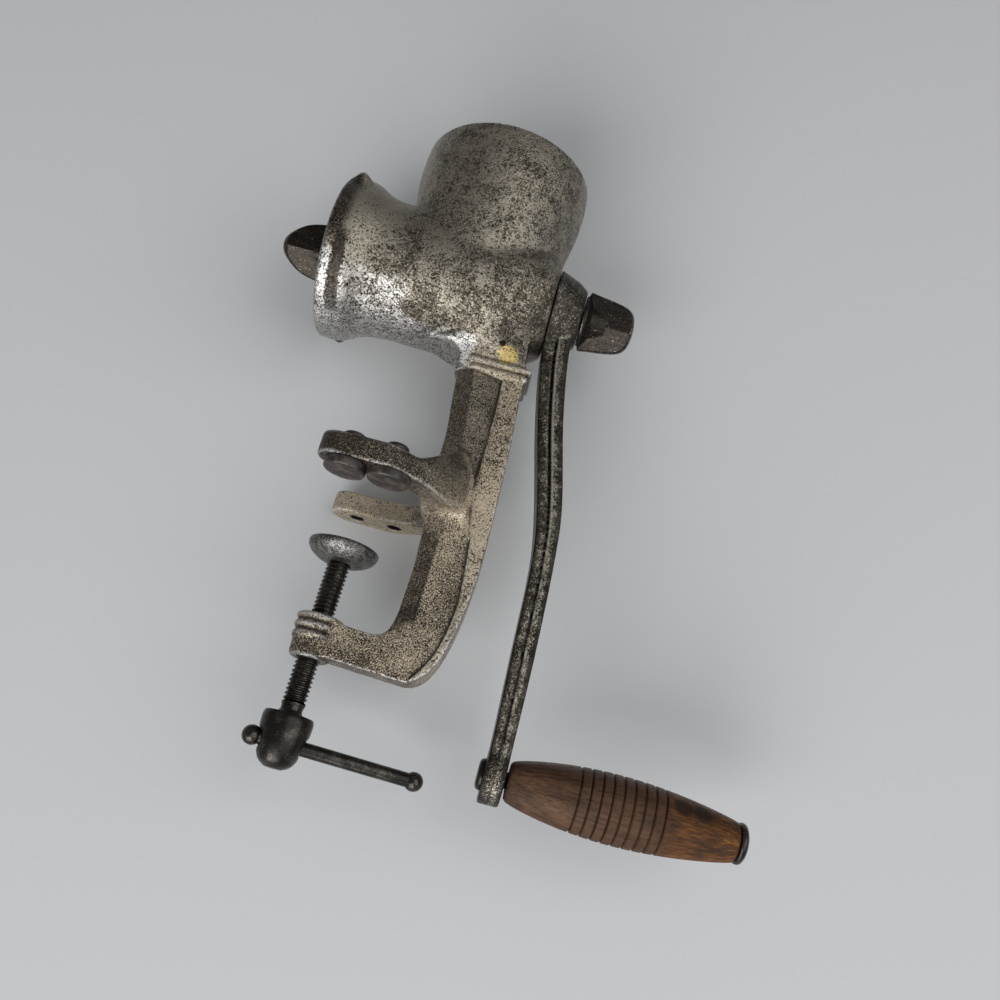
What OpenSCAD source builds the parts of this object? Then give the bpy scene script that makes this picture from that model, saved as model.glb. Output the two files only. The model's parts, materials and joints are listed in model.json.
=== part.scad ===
// Hand-cranked food chopper that clamps to a table edge.
// Origin: on the clamp screw's axis, at the underside of the table rest feet.
// +Z points up to the hopper, +X points back to the crank, the outlet bell faces -X.

/* [Barrel] */
// Height of the barrel axis above the table top
axis_height = 113; // [105:0.5:125]
// Outer radius of the barrel
barrel_radius = 31; // [29:0.5:34]
// Inner radius of the barrel
bore_radius = 26.5; // [24.5:0.5:27.5]
// Distance of the rear end of the barrel behind the clamp screw axis
barrel_rear = 57; // [55:0.5:62]
// Outer radius of the rear end of the barrel
rear_radius = 21.5; // [20:0.5:24]
// Outer radius of the bell mouth
bell_radius = 37; // [35:0.5:41]
// Distance of the bell mouth in front of the clamp screw axis
bell_front = 44.7; // [43:0.1:50]
// Number of fixed cutting notches round the throat
throat_notches = 12; // [8:1:16]
// Turn of the two bell lugs about the barrel axis
lug_turn = 49; // [30:1:70]

/* [Hopper] */
// Distance of the hopper axis behind the clamp screw axis
hopper_x = 20.2; // [18:0.1:21]
// Largest outer radius of the hopper
hopper_radius = 39.8; // [37:0.1:40]
// Height of the hopper rim above the barrel axis
hopper_rise = 64.6; // [58:0.1:75]
// Wall of the hopper at the rim
hopper_wall = 3.6; // [3:0.1:5]

/* [Leg and jaw] */
// Thickness of the leg across its ribs
leg_thickness = 19; // [16:0.5:21]
// Depth of the recess on each side of the leg
leg_recess = 2.6; // [1.5:0.1:3]
// Slope of the bevel along the front edge of the leg, in degrees
bevel_slope = 36; // [30:1:45]
// Distance from the clamp screw axis to the inside of the clamp frame
throat_depth = 29.5; // [28:0.1:32]
// Distance from the table top down to the top of the lower arm
arm_drop = 52; // [48:0.5:60]
// Height of the lower arm
arm_height = 15; // [13:0.5:18]
// Distance between the centre lines of the two prongs
jaw_spread = 67.2; // [60:0.2:74]
// Width of a prong
prong_width = 16; // [14:0.5:18]
// Height of a prong
prong_height = 9.8; // [8:0.1:12]
// Distance between the two foot holes of a prong
foot_pitch = 17.5; // [17.5:0.1:20]
// Hole for the stem of a foot
foot_hole = 6.4; // [5.5:0.1:7]
// Diameter of a rubber foot
foot_diameter = 17; // [14:0.1:17.2]
// Thickness of a rubber foot under the prong
foot_thickness = 3.8; // [3:0.1:6]

/* [Clamp screw] */
// Outer diameter of the clamp screw
screw_diameter = 9.5; // [8:0.1:10.5]
// Thread pitch of the clamp screw
screw_pitch = 1.8; // [1.5:0.1:2.2]
// Diameter of the swivel pad
pad_diameter = 29.6; // [26:0.2:32]
// Opening between the table top and the pad as shown
pad_opening = 19.8; // [15:0.1:21]
// Diameter of the screw head
head_diameter = 20.4; // [19:0.1:23]
// Distance from the table top down to the shoulder of the screw head
head_drop = 91; // [90:0.5:96]
// Diameter of the sliding bar
bar_diameter = 5.7; // [5:0.1:6.2]
// Distance from the screw axis to the far knob of the bar
bar_reach = 54.5; // [45:0.5:65]
// Radius of the knob at each end of the bar
knob_radius = 3.9; // [3.5:0.1:4.2]
// Turn of the bar about the clamp screw as shown
bar_turn = 15; // [0:1:45]

/* [Feed screw] */
// Outer radius of the feed flight
flight_radius = 25.2; // [23:0.1:25.5]
// Radius of the core of the feed screw
core_radius = 8.5; // [8:0.1:10]
// Lead of the feed flight
flight_lead = 25; // [20:0.5:30]
// Radius of the rear journal
journal_radius = 10; // [9.5:0.1:11]
// Width across the square that drives the cutter
cutter_square = 11; // [10:0.1:11.5]
// Width across the square that carries the crank
crank_square = 13; // [12:0.1:13.2]
// Diameter of the cutter stud and of the crank screw
stud_diameter = 8; // [7:0.1:8.2]
// Number of teeth on the cutter
cutter_teeth = 10; // [6:1:14]
// Outer radius of the cutter
cutter_radius = 24.6; // [22:0.1:25]
// Turn of the two thumb wings about the barrel axis as shown
wing_turn = 31; // [0:1:60]

/* [Crank] */
// Distance from the barrel axis to the handle axis
crank_radius = 206.6; // [190:0.2:225]
// Step of the crank arm backwards between the hub and the handle
arm_step = 21; // [21:0.5:28]
// Thickness of the crank arm at the handle
arm_thickness = 8.4; // [8:0.1:10]
// Width of the crank arm
arm_width = 16; // [14:0.5:18]
// Radius of the hub where it meets the barrel
hub_radius = 20; // [18.5:0.5:21]
// Thickness of the hub
hub_thickness = 13.7; // [12.5:0.1:16]
// Length of the wooden grip
grip_length = 91; // [80:0.5:105]
// Largest diameter of the wooden grip
grip_diameter = 26.6; // [24:0.2:30]
// Number of turned grooves on the grip
grip_grooves = 9; // [6:1:11]
// Diameter of the rod that carries the grip
spindle_diameter = 6.4; // [5.5:0.1:7]

/* [Clearances] */
// Radial play of a shaft in its bore
play = 0.06; // [0.03:0.01:0.09]
// Gap between faces that pass each other
face_gap = 0.3; // [0.2:0.05:0.5]

/* [Hidden] */
$fn = 96;
bell_x = -bell_front;
half_leg = leg_thickness / 2;
prong_y = jaw_spread / 2;
prong_low = foot_thickness;
prong_top = foot_thickness + prong_height;
foot_x = [-4.2, foot_pitch - 4.2];
prong_tip = foot_x[0] - prong_width / 2 - 4.2;
arm_top = -arm_drop;
arm_low = -arm_drop - arm_height;
leg_rear = throat_depth + 27;
saddle_z = axis_height - 43;
wall_x = barrel_rear - 16;
washer = 1.3;
thrust_x = wall_x - face_gap - washer;
cutter_x = bell_x + 11.4;
cutter_disc = 4.6;
cutter_hub = 7.6;
nut_x = cutter_x - cutter_hub - face_gap;
nut_nose = nut_x - 28.6;
hub_x = barrel_rear + face_gap;
hub_end = hub_x + hub_thickness;
thumb_x = hub_end + face_gap;
thumb_nose = thumb_x + 24.2;
handle_z = axis_height - crank_radius;
arm_back = hub_end + arm_step - 5;
arm_front = arm_back - arm_thickness;
grip_x = arm_back + 1.2;
grip_end = grip_x + grip_length;
pad_top = -pad_opening;
pad_depth = 7.8;
pad_floor = 4;
bar_z = -head_drop - 11;
knob_seat = 7.1;
knob_near = knob_seat + knob_radius + face_gap / 2;

iron = [0.60, 0.59, 0.56];
dark_iron = [0.27, 0.26, 0.25];
steel = [0.20, 0.20, 0.20];
rubber = [0.16, 0.13, 0.12];
wood = [0.47, 0.31, 0.20];

// Point at share t of the span b to c on a curve that passes through a, b, c and d
function span(a, b, c, d, t) =
    0.5 * (2 * b + (c - a) * t + (2 * a - 5 * b + 4 * c - d) * t * t + (3 * b - a - 3 * c + d) * t * t * t);

// Smooth open curve through the points p with n steps a span
function smooth(p, n = 4) = concat(
    [for (i = [0 : len(p) - 2]) for (k = [0 : n - 1])
        span(p[max(i - 1, 0)], p[i], p[i + 1], p[min(i + 2, len(p) - 1)], k / n)],
    [p[len(p) - 1]]);

function reversed(p) = [for (i = [len(p) - 1 : -1 : 0]) p[i]];

// The points p from last to first, on the other side of the vertical axis
function flipped(p) = [for (q = reversed(p)) [-q[0], q[1]]];

// Solid turned about the barrel axis; points are [radius, x]
module turned(points) {
    translate([0, 0, axis_height])
        rotate([0, 90, 0])
            rotate_extrude()
                polygon(points);
}

// Side outline in the XZ plane, thick along Y and centred on Y = 0
module side_plate(points, thick) {
    rotate([90, 0, 0])
        linear_extrude(height = thick, center = true)
            polygon(points);
}

// Rod along X at height z
module rod_x(x0, x1, r, z) {
    translate([x0, 0, z])
        rotate([0, 90, 0])
            cylinder(h = x1 - x0, r = r);
}

// Outside of the barrel with its rolled lip and flared bell
module barrel_outside() {
    flare = smooth([
        [bell_radius, bell_x + 6],
        [bell_radius - 0.9, bell_x + 12],
        [barrel_radius + 1.2, bell_x + 20],
        [barrel_radius - 0.1, bell_x + 31],
        [barrel_radius + 0.3, 2],
        [barrel_radius, barrel_rear - 28],
        [barrel_radius - 1.6, barrel_rear - 17],
        [rear_radius + 3.6, barrel_rear - 5],
        [rear_radius, barrel_rear]]);
    turned(concat(
        [[0, bell_x], [bell_radius - 1.6, bell_x], [bell_radius - 0.4, bell_x + 0.6], [bell_radius, bell_x + 1.8]],
        flare,
        [[0, barrel_rear]]));
}

// Room inside the barrel, from the bell mouth to the rear wall
module barrel_room() {
    turned([
        [0, bell_x - 1],
        [bell_radius - 3, bell_x - 1],
        [bell_radius - 3.2, bell_x + 1],
        [bell_radius - 6, bell_x + 8.5],
        [bore_radius + 1.2, cutter_x - 1],
        [bore_radius + 1.2, cutter_x + 1.6],
        [bore_radius, cutter_x + 1.6],
        [bore_radius, wall_x - 11],
        [16, wall_x],
        [0, wall_x]]);
}

// Notches in the throat edge that the cutter shears against
module throat_cuts() {
    for (i = [0 : throat_notches - 1])
        translate([cutter_x + 3.6, 0, axis_height])
            rotate([i * 360 / throat_notches, 0, 0])
                translate([0, 0, bore_radius])
                    cube([4.2, 3.4, 2.6], center = true);
}

// Outside of the hopper, a bowl that swells slightly below its rim
module hopper_outside() {
    bowl = smooth([
        [barrel_radius - 5, -6],
        [barrel_radius - 0.5, 3],
        [hopper_radius - 6, 13],
        [hopper_radius - 3.3, 26],
        [hopper_radius - 1.6, 37],
        [hopper_radius - 0.4, 46],
        [hopper_radius, hopper_rise - 8.6],
        [hopper_radius - 0.5, hopper_rise]]);
    translate([hopper_x, 0, axis_height])
        rotate_extrude()
            polygon(concat([[0, -6]], bowl, [[0, hopper_rise]]));
}

// Room inside the hopper, down through the throat into the barrel
module hopper_room() {
    rim = hopper_radius - hopper_wall;
    inside = smooth([
        [22, 0],
        [22.5, 12],
        [27, 21],
        [rim - 3, 33],
        [rim - 0.8, 46],
        [rim, hopper_rise + 1]]);
    translate([hopper_x, 0, axis_height])
        rotate_extrude()
            polygon(concat([[0, 0]], inside, [[0, hopper_rise + 1]]));
}

// Pointed casting lug on the lip of the bell
module bell_lug(turn) {
    translate([bell_x + 6.2, 0, axis_height])
        rotate([turn, 0, 0])
            translate([0, 0, bell_radius - 1.7])
                cylinder(h = 5.6, r1 = 6.4, r2 = 0.9, $fn = 32);
}

// Side outline of the leg, clamp frame and lower arm
module frame_outline() {
    back = smooth([
        [leg_rear - 3, saddle_z + 4],
        [leg_rear - 2.5, saddle_z - 8],
        [leg_rear - 1.2, 42],
        [leg_rear - 0.3, 20],
        [leg_rear + 0.2, -5],
        [leg_rear, -21],
        [leg_rear - 1.9, arm_top + 12],
        [leg_rear - 5.3, arm_top - 3.5],
        [leg_rear - 10.2, arm_low + 2.4],
        [leg_rear - 16.5, arm_low - 1.6]]);
    front = smooth([
        [5, arm_top],
        [throat_depth - 12, arm_top - 1.2],
        [throat_depth - 5.5, arm_top - 0.8],
        [throat_depth - 1.7, arm_top + 3],
        [throat_depth - 0.4, arm_top + 15],
        [throat_depth + 0.3, -20],
        [throat_depth - 0.6, -9],
        [throat_depth - 1.8, -1],
        [throat_depth - 4.2, 4.6]]);
    neck = smooth([
        [throat_depth - 6, 9],
        [throat_depth - 4.2, 24],
        [throat_depth - 2.8, 39],
        [throat_depth - 4.6, saddle_z - 13],
        [throat_depth - 6.2, saddle_z + 4]]);
    side_plate(concat(back, [[5, arm_low]], front, neck), leg_thickness);
}

// Recess in one side of the leg, which leaves a rib along the rear edge and runs out into the lower arm
module leg_panel(side) {
    upper = concat(
        smooth([[leg_rear - 12.1, saddle_z], [leg_rear - 11.3, saddle_z - 21], [leg_rear - 11, 23], [leg_rear - 9.2, 6]]),
        [[throat_depth - 14, 6], [throat_depth - 14, saddle_z]]);
    lower = concat(
        smooth([[leg_rear - 7, -5], [leg_rear - 5.3, -23], [leg_rear - 5, arm_top + 15], [leg_rear - 7.4, arm_top],
            [leg_rear - 11.4, arm_top - 9.5], [leg_rear - 17, arm_low - 3]]),
        [[2, arm_low - 3], [2, arm_top + 3], [throat_depth - 6, arm_top + 3]],
        [[throat_depth - 14, 6.5], [leg_rear - 9.2, 6.5]]);
    for (outline = [upper, lower])
        translate([0, side * (half_leg - leg_recess / 2 + 0.5), 0])
            side_plate(outline, leg_recess + 1);
}

// Block that bevels the front edge of the leg; the bevel starts at x, y and leans by tilt
module front_bevel(x, y, tilt, z0, z1) {
    for (side = [0, 1])
        mirror([0, side, 0])
            translate([x, -y, z0])
                rotate([0, tilt, 0])
                    rotate([0, 0, -bevel_slope])
                        translate([-25, -25, 0])
                            cube([60, 25, z1 - z0]);
}

// Bevel round the inside of the clamp frame, mitred where it turns toward the lower arm
module throat_bevel() {
    turn = [throat_depth + 7.7, arm_top + 8.5];
    far = [turn[0] + 12, turn[1] - 5.6];
    near = [0, turn[1] + 17.4];
    lap = [0, 0.06];
    intersection() {
        front_bevel(throat_depth + 2.3, 3, 0, arm_top, 3);
        side_plate([far - lap, [far[0], 6], [0, 6], near - lap], 40);
    }
    intersection() {
        front_bevel(throat_depth - 6.9, 3, 50, arm_top + 3.2, arm_top + 24);
        side_plate([far + lap, near + lap, [0, arm_low], [far[0], arm_low]], 40);
    }
}

// Fork of the upper jaw seen from above, with two prongs that reach forward
module jaw_fork() {
    outer = prong_y + prong_width / 2;
    inner = prong_y - prong_width / 2;
    sweep = smooth([
        [foot_x[0], outer],
        [foot_x[1] - 1, outer],
        [foot_x[1] + 7.6, outer - 4.4],
        [throat_depth - 0.6, outer - 10.6],
        [throat_depth + 6.1, outer - 19.8],
        [throat_depth + 12.3, outer - 30],
        [throat_depth + 17.4, half_leg - 1.8],
        [throat_depth + 21.5, half_leg - 3]]);
    crotch = smooth([
        [throat_depth - 2, 0],
        [throat_depth - 3, half_leg],
        [throat_depth - 7, inner - 7],
        [foot_x[1] + 1, inner - 1.4],
        [foot_x[0] + 8, inner],
        [foot_x[0], inner]]);
    for (side = [0, 1])
        mirror([0, side, 0])
            translate([0, 0, prong_low]) {
                linear_extrude(height = prong_height)
                    polygon(concat(sweep, [[throat_depth + 21.5, 0]], crotch));
                translate([foot_x[0], prong_y, 0])
                    cylinder(h = prong_height, r = prong_width / 2);
                translate([prong_tip + prong_width / 2, prong_y, 0])
                    cylinder(h = prong_height, r = prong_width / 2);
                translate([prong_tip + prong_width / 2, prong_y - prong_width / 2, 0])
                    cube([foot_x[0] - prong_tip - prong_width / 2, prong_width, prong_height]);
            }
}

// Webs that rise from the fork's root to the side of the leg
module jaw_webs() {
    outer = prong_y + prong_width / 2;
    for (side = [0, 1])
        mirror([0, side, 0])
            hull() {
                translate([0, 0, prong_low + 2])
                    linear_extrude(height = prong_height - 2)
                        polygon([
                            [foot_x[1] + 9.6, outer - 5.8],
                            [throat_depth - 0.6, outer - 10.9],
                            [throat_depth + 6, outer - 20],
                            [throat_depth + 12, outer - 30],
                            [throat_depth + 17.6, half_leg - leg_recess - 0.2],
                            [throat_depth + 14, half_leg - 5],
                            [throat_depth - 4, half_leg - 4]]);
                translate([0, half_leg - leg_recess - 0.8, 0])
                    side_plate([
                        [throat_depth + 4.5, prong_top + 8],
                        [throat_depth + 15.4, prong_top + 10],
                        [throat_depth + 10.5, prong_top + 19],
                        [throat_depth + 5.5, prong_top + 19]], 1.4);
            }
}

// Tails of the fork's lower edge, which run down the sides of the leg to the rib
module jaw_tails() {
    tail = concat(
        smooth([[throat_depth + 8, 3], [throat_depth + 12.4, 2.2], [throat_depth + 16, -0.6], [throat_depth + 18.6, -5.4]]),
        [[throat_depth + 22, -6], [throat_depth + 21, 6], [throat_depth + 8, 6]]);
    for (side = [-1, 1])
        translate([0, side * (half_leg - leg_recess / 2 - 1.1), 0])
            side_plate(tail, leg_recess);
}

// Saddle that spreads from the leg to the underside of the barrel, with a low keel toward the bell
module saddle() {
    top = axis_height - 21;
    keel = smooth([
        [leg_rear - 54.5, axis_height - 29.4],
        [leg_rear - 49, axis_height - 31.4],
        [leg_rear - 43, axis_height - 32.3],
        [leg_rear - 38.4, axis_height - 33.2],
        [leg_rear - 35.2, axis_height - 34.6],
        [leg_rear - 33.4, axis_height - 36.8],
        [leg_rear - 32.4, saddle_z + 2]]);
    rear = smooth([
        [leg_rear - 2.8, saddle_z - 3],
        [leg_rear - 3.6, saddle_z + 7],
        [leg_rear - 5, saddle_z + 16]]);
    flank = smooth([
        [half_leg - 0.1, saddle_z - 3],
        [half_leg, saddle_z + 2],
        [half_leg + 1.4, saddle_z + 7],
        [half_leg + 4.2, saddle_z + 12.5],
        [half_leg + 8.4, saddle_z + 18]]);
    arch = smooth([
        [leg_rear - 54, 1],
        [leg_rear - 51.3, 4],
        [leg_rear - 48.7, 6.8],
        [leg_rear - 42.3, 11.4],
        [leg_rear - 36, 14.4],
        [leg_rear - 28.8, 16.5],
        [leg_rear - 20.8, 15.9],
        [leg_rear - 16.2, 14.7],
        [leg_rear - 9.6, 12],
        [leg_rear - 2.8, 9.6]]);
    intersection() {
        side_plate(concat(keel, rear, [[leg_rear - 5, top], [leg_rear - 54.5, top]]), 60);
        rotate([90, 0, 90])
            linear_extrude(height = leg_rear + 10)
                polygon(concat(flank, [[half_leg + 8.4, top], [-half_leg - 8.4, top]], flipped(flank)));
        translate([0, 0, saddle_z - 3])
            linear_extrude(height = top - saddle_z + 3)
                polygon(concat(arch, [for (p = reversed(arch)) [p[0], -p[1]]]));
    }
    for (step = [0, 1])
        translate([0, 0, saddle_z + 0.4 + 3.6 * step])
            linear_extrude(height = 1.9)
                collar(1 + 1.1 * step);
}

// Section of the collar at the top of the leg, which stands proud of it by grow
module collar(grow) {
    front = leg_rear - 33.2 - grow;
    rear = leg_rear - 2.6 + grow;
    wide = half_leg + grow;
    polygon([[front, -4], [front + 8, -wide], [rear, -wide], [rear, wide], [front + 8, wide], [front, 4]]);
}

// Boss of the lower arm with three raised bands
module screw_boss() {
    r = screw_diameter / 2 + 4.6;
    rotate_extrude()
        polygon([
            [0, arm_low - 1.6],
            [r - 1.8, arm_low - 1.6],
            [r - 1, arm_low],
            [r - 0.7, arm_top - 9.2],
            [r + 0.2, arm_top - 8.6], [r + 0.2, arm_top - 7],
            [r - 0.8, arm_top - 6.2], [r - 0.8, arm_top - 5.2],
            [r + 0.4, arm_top - 4.5], [r + 0.4, arm_top - 2.9],
            [r - 0.7, arm_top - 2.2], [r - 0.7, arm_top - 1.3],
            [r + 0.4, arm_top - 0.7], [r + 0.4, arm_top + 0.7],
            [r - 0.6, arm_top + 1.2],
            [0, arm_top + 1.2]]);
}

// One casting: hopper, barrel, bell, leg, forked upper jaw and lower arm
module body_casting() {
    color(iron)
        difference() {
            union() {
                barrel_outside();
                hopper_outside();
                for (turn = [lug_turn, lug_turn + 180])
                    bell_lug(turn);
                saddle();
                difference() {
                    frame_outline();
                    leg_panel(-1);
                    leg_panel(1);
                    front_bevel(throat_depth + 4.4, 4, -6, 12, saddle_z + 4);
                    throat_bevel();
                }
                jaw_fork();
                jaw_webs();
                jaw_tails();
                screw_boss();
            }
            barrel_room();
            hopper_room();
            throat_cuts();
            rod_x(wall_x - 1, barrel_rear + 1, journal_radius + play, axis_height);
            translate([0, 0, arm_low - 5])
                cylinder(h = arm_height + 10, r = screw_diameter / 2 + play);
            for (x = foot_x)
                for (side = [-1, 1])
                    translate([x, side * prong_y, prong_low - 1])
                        cylinder(h = prong_height + 2, d = foot_hole);
        }
}

// Rubber foot with a stem through the prong and a button on top
module rubber_foot(x) {
    stem = foot_hole / 2 - play;
    color(rubber)
        translate([x, -prong_y, 0])
            rotate_extrude()
                polygon(concat(
                    [[0, 0], [foot_diameter / 2 - 0.7, 0], [foot_diameter / 2, 0.7]],
                    [[foot_diameter / 2, prong_low - 0.5], [foot_diameter / 2 - 0.5, prong_low]],
                    [[stem, prong_low], [stem, prong_top], [stem + 1.4, prong_top]],
                    [[stem + 1.4, prong_top + 1.4], [stem + 0.4, prong_top + 2.6], [0, prong_top + 3]]));
}

module foot_front() {
    rubber_foot(foot_x[0]);
}

module foot_rear() {
    rubber_foot(foot_x[1]);
}

// Spiral flight as a twisted sector
module feed_flight() {
    from = cutter_x + 3.4;
    length = wall_x - 12 - from;
    sector = 62;
    translate([from, 0, axis_height])
        rotate([0, 90, 0])
            linear_extrude(height = length, twist = -360 * length / flight_lead, slices = 64, $fn = 12)
                polygon(concat([[0, 0]],
                    [for (a = [0 : 8]) flight_radius * [cos(a * sector / 8), sin(a * sector / 8)]]));
}

// Feed screw: flight, core, rear journal and the two drive squares
module feed_screw() {
    color(iron)
        difference() {
            union() {
                feed_flight();
                turned(concat(
                    [[0, cutter_x + 0.4], [core_radius, cutter_x + 0.4], [core_radius, wall_x - 14]],
                    [[12.6, thrust_x - 3], [12.6, thrust_x], [journal_radius, thrust_x]],
                    [[journal_radius, barrel_rear - 0.1], [0, barrel_rear - 0.1]]));
                translate([cutter_x - cutter_hub + 1, 0, axis_height])
                    cube_x(cutter_hub, cutter_square);
                translate([barrel_rear - 1, 0, axis_height])
                    cube_x(hub_thickness + 0.4, crank_square);
            }
            rod_x(cutter_x - 20, cutter_x + 12, stud_diameter / 2, axis_height);
            rod_x(barrel_rear - 14, hub_end + 2, stud_diameter / 2 + play, axis_height);
        }
}

// Square bar that starts at the origin and runs along X
module cube_x(length, across) {
    translate([0, -across / 2, -across / 2])
        cube([length, across, across]);
}

// Washer that takes the thrust of the feed screw at the rear wall
module thrust_washer() {
    color([0.45, 0.36, 0.24])
        turned([
            [journal_radius + play, thrust_x],
            [15, thrust_x],
            [15, thrust_x + washer],
            [journal_radius + play, thrust_x + washer]]);
}

// Stud fixed in the nose of the feed screw
module cutter_stud() {
    color(steel)
        rod_x(nut_nose + 9.5, cutter_x + 11.9, stud_diameter / 2, axis_height);
}

// Toothed cutter that turns with the feed screw in the throat
module rotary_cutter() {
    color([0.55, 0.55, 0.55])
        difference() {
            union() {
                rod_x(cutter_x - cutter_disc, cutter_x, cutter_radius, axis_height);
                rod_x(cutter_x - cutter_hub, cutter_x, 11, axis_height);
            }
            for (i = [0 : cutter_teeth - 1])
                translate([0, 0, axis_height])
                    rotate([i * 360 / cutter_teeth, 0, 0])
                        translate([cutter_x - cutter_disc - 1, -2.6, 14])
                            rotate([12, 0, 0])
                                cube([cutter_disc + 2, 5.2, 20]);
            translate([cutter_x - cutter_hub - 1, 0, axis_height])
                cube_x(cutter_hub + 2, cutter_square + 2 * play);
        }
}

// Turned form cut to a section that is thick at the axis and thin at its two wings
module thumb_form(profile, ridge, edge) {
    intersection() {
        turned(profile);
        translate([profile[0][1] - 50, 0, axis_height])
            rotate([wing_turn, 0, 0])
                rotate([90, 0, 90])
                    linear_extrude(height = 120)
                        polygon([[-ridge, 0], [-edge, 16], [edge, 16], [ridge, 0], [edge, -16], [-edge, -16]]);
    }
}

// Front thumb nut: bullet-shaped wing with a ridge along it, on a round seat
module cutter_nut() {
    color(dark_iron)
        difference() {
            union() {
                thumb_form(concat(
                    smooth([[0, nut_nose - 0.6], [3.6, nut_nose + 0.1], [7.4, nut_nose + 3.6], [10.9, nut_nose + 9],
                        [12.6, nut_nose + 15], [13.2, nut_nose + 21], [11, nut_x - 3]]),
                    [[0, nut_x - 3]]), 6.6, 1.7);
                turned([[0, nut_nose + 12], [6.2, nut_nose + 12], [7.6, nut_x - 3.6], [8.8, nut_x - 2], [8.8, nut_x], [0, nut_x]]);
            }
            rod_x(nut_nose + 8, nut_x + 1, stud_diameter / 2 + play, axis_height);
        }
}

// Side outline of the crank arm between its front edge and its rear edge
function arm_edge(front) = let (
        b = arm_back,
        t = arm_thickness,
        d = front ? 1 : 0)
    smooth([
        [hub_x + (1 - d) * (hub_thickness - 2), axis_height - 2],
        [hub_x + 0.4 + (1 - d) * (hub_thickness - 1.6), axis_height - 24],
        [b - 12.2 - d * (t + 3), axis_height - 56],
        [b - 3.9 - d * (t + 2.5), axis_height - 94],
        [b - 1.5 - d * (t + 0.9), axis_height - 119],
        [b - 0.2 - d * (t + 0.9), axis_height - crank_radius * 0.76],
        [b - d * t, axis_height - crank_radius * 0.93],
        [b - d * t, handle_z]]);

// Crank arm: conical hub, stepped back arm with a flange, eye for the grip's rod
module crank_arm() {
    back = arm_edge(false);
    front = arm_edge(true);
    groove = [for (i = [0 : len(front) - 1]) 0.56 * front[i] + 0.44 * back[i]];
    ridge = [for (i = [0 : len(front) - 1]) 0.48 * front[i] + 0.52 * back[i]];
    color(dark_iron)
        difference() {
            union() {
                turned([[0, hub_x], [hub_radius, hub_x], [hub_radius - 1.2, hub_x + 3], [hub_radius - 3.4, hub_x + 9],
                    [hub_radius - 6.6, hub_end], [0, hub_end]]);
                side_plate(concat(front, reversed(groove)), arm_width - 1.4);
                side_plate(concat(groove, reversed(ridge)), arm_width - 4.6);
                side_plate(concat(ridge, reversed(back)), arm_width);
                rod_x(arm_front, arm_back, arm_width / 2 + 2.7, handle_z);
            }
            translate([hub_x - 1, 0, axis_height])
                cube_x(hub_thickness + 2, crank_square + 2 * play);
            rod_x(arm_front - 8, arm_back + 1, spindle_diameter / 2, handle_z);
        }
}

// Rear thumb screw: blunt wing with a ridge along it, on a round seat and a threaded shank
module crank_screw() {
    color(dark_iron) {
        turned([[0, barrel_rear - 12], [stud_diameter / 2, barrel_rear - 12], [stud_diameter / 2, thumb_x],
            [11.6, thumb_x], [11.6, thumb_x + 1.6], [8.6, thumb_x + 4], [6.4, thumb_nose - 9], [0, thumb_nose - 9]]);
        thumb_form(concat(
            [[0, thumb_x + 1.2], [13.8, thumb_x + 1.2]],
            smooth([[13.6, thumb_x + 2.4], [12.9, thumb_x + 7], [12, thumb_x + 14], [10.6, thumb_x + 19.6],
                [8, thumb_nose - 1.5], [3.6, thumb_nose - 0.2], [0, thumb_nose]])), 7.4, 2.4);
    }
}

// Rod through the arm and the grip, with a riveted head in front of the arm
module handle_spindle() {
    r = spindle_diameter / 2;
    color(steel)
        translate([0, 0, handle_z - axis_height])
            turned([[0, arm_front - 2.4], [r + 1.6, arm_front - 2.4], [r + 3, arm_front - 1], [r + 3, arm_front],
                [r, arm_front], [r, grip_end + 2.4], [0, grip_end + 2.4]]);
}

// Turned wooden grip with a band of grooves round its middle
module handle_grip() {
    big = grip_diameter / 2;
    band0 = 0.245;
    band1 = 0.665;
    steps = grip_grooves * 4;
    swell = function (t) big * (0.575 + 0.425 * pow(sin(180 * pow(t, 0.92)), 0.82));
    groove = function (k) k % 4 == 2 ? 0.9 : 0;
    side = concat(
        [for (i = [0 : 6]) let (t = band0 * i / 6) [swell(t), t]],
        [for (k = [1 : steps - 1]) let (t = band0 + (band1 - band0) * k / steps) [swell(t) - groove(k), t]],
        [for (i = [0 : 8]) let (t = band1 + (1 - band1) * i / 8) [swell(t), t]]);
    bore = spindle_diameter / 2 + play;
    color(wood)
        translate([0, 0, handle_z - axis_height])
            turned(concat(
                [[bore, grip_x], [swell(0) - 1, grip_x]],
                [for (p = side) [p[0], grip_x + 0.8 + (grip_length - 1.6) * p[1]]],
                [[swell(1) - 1, grip_end], [bore, grip_end]]));
}

// Domed end cap riveted on the rod
module handle_cap() {
    r = spindle_diameter / 2;
    color(steel)
        translate([0, 0, handle_z - axis_height])
            turned([[r, grip_end + face_gap], [7.9, grip_end + face_gap], [7.9, grip_end + 1.6], [6.6, grip_end + 3.2],
                [3.4, grip_end + 4.2], [0, grip_end + 4.4], [0, grip_end + 2.4], [r, grip_end + 2.4]]);
}

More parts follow.
